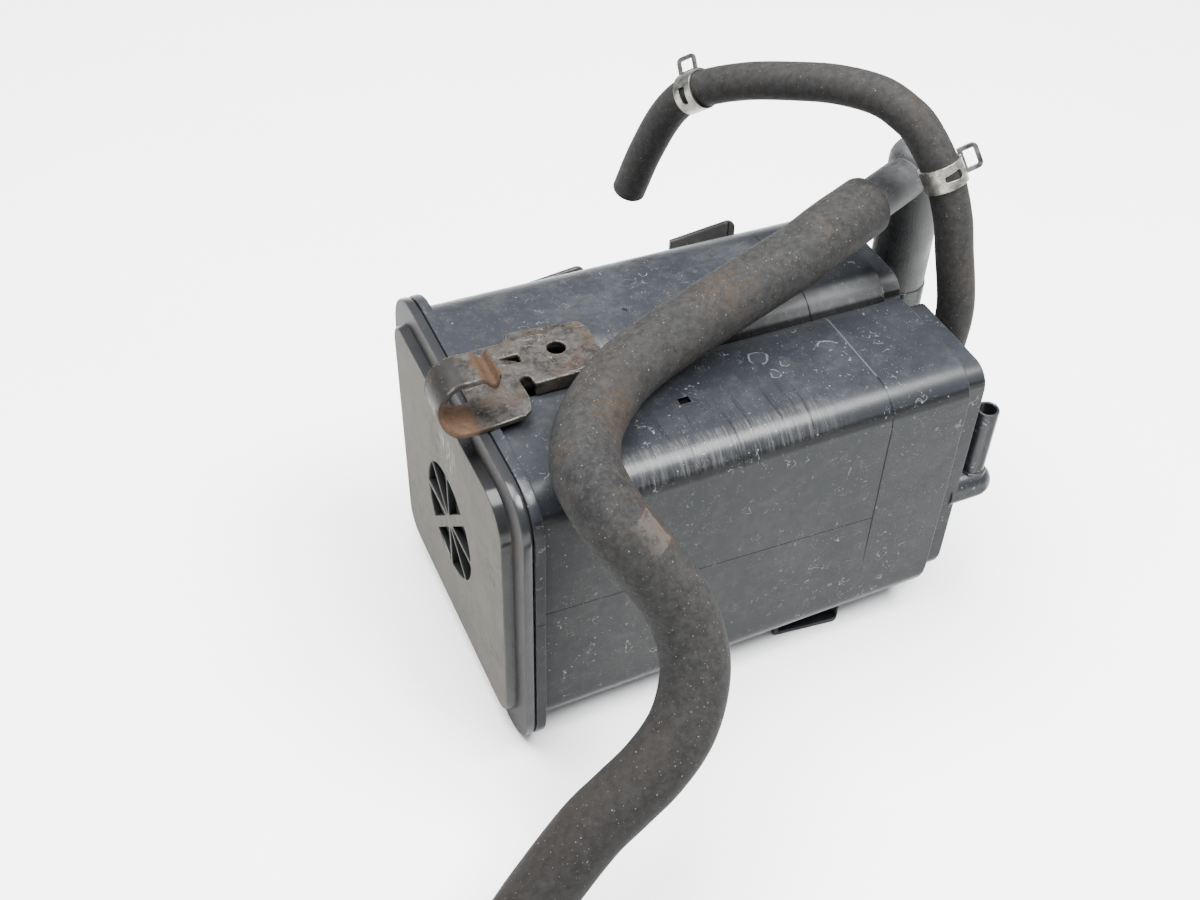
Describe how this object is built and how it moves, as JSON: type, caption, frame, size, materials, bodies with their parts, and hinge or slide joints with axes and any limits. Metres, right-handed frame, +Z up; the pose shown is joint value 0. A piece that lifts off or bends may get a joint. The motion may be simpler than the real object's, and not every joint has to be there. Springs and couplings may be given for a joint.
{
  "type": "charcoal canister",
  "caption": "Welded two-lobed plastic canister that stores fuel vapour in charcoal, with a grilled end cover, elbow nipples, a vent pipe, rubber hoses and a steel clip bracket.",
  "frame": {"origin": "on the ground under the middle of the canister's box, hoses left out", "axes": "+X from the cover to the ports, +Y from the near lobe to the far lobe, +Z up"},
  "size_m": [0.3064, 0.2934, 0.2054],
  "materials": {
    "case": "black moulded plastic, dusty, scratched and abraded",
    "cover": "black moulded plastic under grey dust",
    "pipe": "satin black moulded plastic",
    "seal": "black rubber ring",
    "wide_hose": "matte dark rubber, dusty",
    "thin_hose": "matte dark rubber, dusty",
    "clamp": "zinc-plated spring steel",
    "bracket": "bare steel with rust",
    "foam": "dark open-cell filter foam",
    "charcoal": "black granules",
    "felt": "pale felt",
    "plate": "natural moulded plastic",
    "spring": "drawn spring wire"
  },
  "bodies": {
    "root": {"case_body": "case", "end_cover": "cover", "vent_pipe": "pipe", "vent_pipe_seal": "seal", "wide_hose": "wide_hose", "thin_hose": "thin_hose", "hose_clamp_lower": "clamp", "hose_clamp_upper": "clamp", "clip_bracket": "bracket", "filter_foam": "foam", "carbon_bed_near": "charcoal", "carbon_bed_far": "charcoal", "port_felt_near": "felt", "port_felt_far": "felt", "cover_felt_near": "felt", "cover_felt_far": "felt", "pressure_plate_near": "plate", "pressure_plate_far": "plate", "spring_near_low": "spring", "spring_near_high": "spring", "spring_far_low": "spring", "spring_far_high": "spring"}
  },
  "joints": []
}
